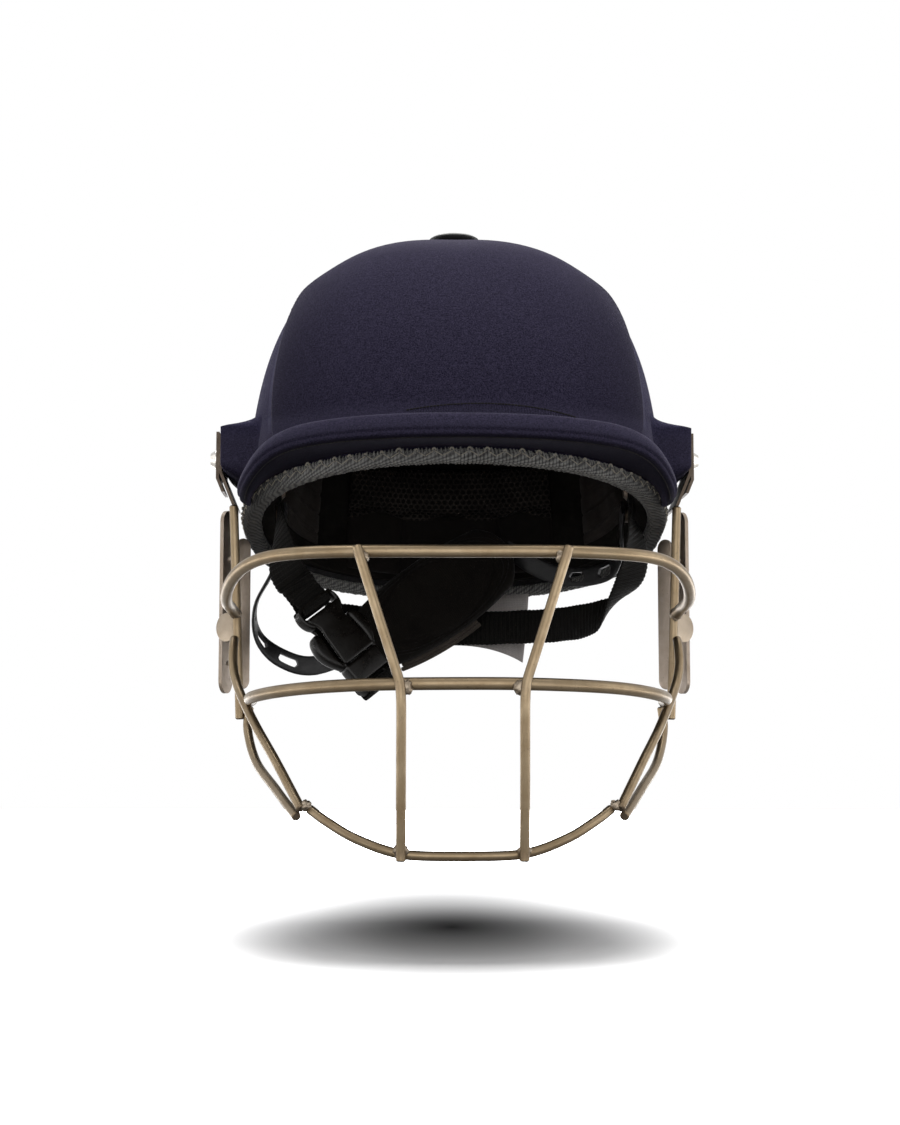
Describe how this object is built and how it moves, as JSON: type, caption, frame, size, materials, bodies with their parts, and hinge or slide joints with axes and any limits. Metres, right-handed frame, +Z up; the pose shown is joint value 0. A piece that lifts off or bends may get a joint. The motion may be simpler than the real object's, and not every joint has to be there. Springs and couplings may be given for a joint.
{
  "type": "batting helmet",
  "caption": "Cloth covered batting helmet with a rounded peak, knitted rim binding, inner pads, chin strap, neck cradle and a bent wire grille on side screws.",
  "frame": {"origin": "middle of the head seat at ear height, where the wearer's head sits inside the shell", "axes": "+Z up, front (peak and grille) towards -Y, +X to the right when looking at the front"},
  "size_m": [0.236, 0.2823, 0.3035],
  "materials": {
    "navy_cloth": "stretch knit",
    "shell_plastic": "moulded",
    "liner_foam": "matte foam",
    "pad_cloth": "soft mesh cloth",
    "grey_cloth": "soft knit",
    "rim_binding": "ribbed knit",
    "button_plastic": "moulded",
    "button_mesh": "perforated",
    "plate_steel": "satin",
    "screw_steel": "bright plated",
    "grille_steel": "satin plated",
    "weld_steel": "burnt",
    "webbing": "ribbed weave",
    "buckle_plastic": "moulded",
    "band_plastic": "moulded"
  },
  "bodies": {
    "shell": {"shell_cover": "navy_cloth", "peak_cover": "navy_cloth", "outer_shell": "shell_plastic", "peak_core": "shell_plastic", "foam_liner": "liner_foam", "crown_pad": "pad_cloth", "forehead_pad": "pad_cloth", "left_temple_pad": "pad_cloth", "right_temple_pad": "pad_cloth", "rear_pad": "pad_cloth", "neck_flap": "grey_cloth", "edge_trim": "rim_binding", "vent_button": "button_plastic", "button_mesh": "button_mesh", "left_clamp_plate": "plate_steel", "right_clamp_plate": "plate_steel", "grille_screws": "screw_steel", "screw_washers": "screw_steel", "screw_nuts": "screw_steel", "strap_rivets": "screw_steel", "band_pivots": "screw_steel", "left_strap": "webbing", "right_strap": "webbing", "buckle_female": "buckle_plastic"},
    "grille": {"left_hinge_tab": "grille_steel", "right_hinge_tab": "grille_steel", "top_bar": "grille_steel", "middle_bar": "grille_steel", "bottom_bar": "grille_steel", "left_upright": "grille_steel", "right_upright": "grille_steel", "left_post": "grille_steel", "right_post": "grille_steel", "left_outer_strip": "grille_steel", "right_outer_strip": "grille_steel", "left_inner_strip": "grille_steel", "right_inner_strip": "grille_steel", "left_jaw_bar": "grille_steel", "right_jaw_bar": "grille_steel", "left_rear_jaw_bar": "grille_steel", "right_rear_jaw_bar": "grille_steel", "left_side_tab": "grille_steel", "right_side_tab": "grille_steel", "left_side_ties": "grille_steel", "right_side_ties": "grille_steel", "weld_beads": "weld_steel"},
    "cradle": {"left_band": "band_plastic", "right_band": "band_plastic", "cradle_frame": "band_plastic", "cradle_pad": "pad_cloth"},
    "tongue": {"buckle_male": "buckle_plastic", "strap_loop": "webbing"}
  },
  "joints": [
    {"name": "grille_tilt", "type": "hinge", "parent": "shell", "child": "grille", "pos_m": [0, -0.02, 0.022], "axis": [1, 0, 0], "range_deg": [-5, 6]},
    {"name": "cradle_tilt", "type": "hinge", "parent": "shell", "child": "cradle", "pos_m": [0, 0.004, -0.001], "axis": [1, 0, 0], "range_deg": [0, 6]},
    {"name": "buckle_release", "type": "slide", "parent": "shell", "child": "tongue", "axis": [0.6428, 0, -0.766], "range_m": [0, 0.022]}
  ]
}
